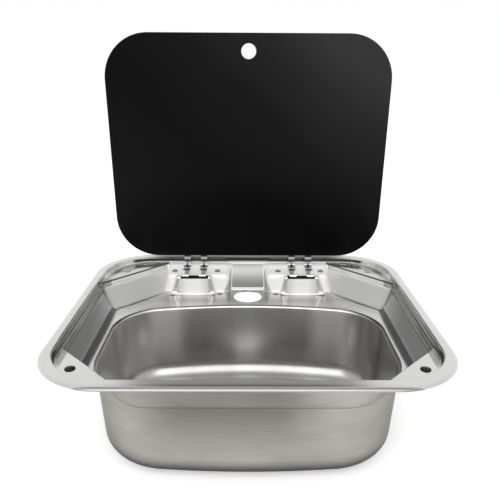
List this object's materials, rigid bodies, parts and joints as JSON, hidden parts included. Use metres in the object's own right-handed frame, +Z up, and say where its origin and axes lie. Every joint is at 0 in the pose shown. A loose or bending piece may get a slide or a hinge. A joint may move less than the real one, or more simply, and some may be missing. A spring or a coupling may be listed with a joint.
{
  "type": "rv sink with glass lid",
  "caption": "Compact drop-in steel sink with a deep rounded bowl, a seat and a hinged black glass lid that folds flat over the bowl.",
  "frame": {"origin": "centre of the rim at worktop level, which is the underside of the rim's gasket and of its rolled edge", "axes": "+X to the user's right, +Y to the hinge side, +Z up"},
  "size_m": [0.42, 0.37, 0.4465],
  "materials": {
    "tray_steel": "satin",
    "bowl_steel": "satin",
    "plate_steel": "plain",
    "hinge_metal": "polished",
    "fastener_steel": "plated",
    "foam_seal": "matt foam",
    "bumper_rubber": "matt",
    "bumper_clear": "translucent grey",
    "black_glass": "gloss, opaque black",
    "adhesive": "matt"
  },
  "bodies": {
    "sink": {"rim_tray": "tray_steel", "bowl": "bowl_steel", "rim_seal": "foam_seal", "bumper_front_left": "bumper_rubber", "bumper_front_right": "bumper_rubber", "bumper_rear_left": "bumper_clear", "bumper_rear_right": "bumper_clear", "hinge_strap_left_outer": "hinge_metal", "hinge_strap_left_inner": "hinge_metal", "hinge_strap_right_inner": "hinge_metal", "hinge_strap_right_outer": "hinge_metal", "hinge_pins_left": "fastener_steel", "hinge_pins_right": "fastener_steel", "hinge_backing_plate_left": "plate_steel", "hinge_backing_plate_right": "plate_steel", "hinge_screws_left": "fastener_steel", "hinge_screws_right": "fastener_steel", "hinge_nuts_left": "fastener_steel", "hinge_nuts_right": "fastener_steel"},
    "lid": {"glass_lid": "black_glass", "hinge_leaf_left": "hinge_metal", "hinge_leaf_right": "hinge_metal", "leaf_bond_pad_left": "adhesive", "leaf_bond_pad_right": "adhesive"}
  },
  "joints": [
    {"name": "lid_hinge", "type": "hinge", "parent": "sink", "child": "lid", "pos_m": [0, 0.15144, -0.00233], "axis": [1, 0, 0], "range_deg": [-8, 86.83]}
  ]
}
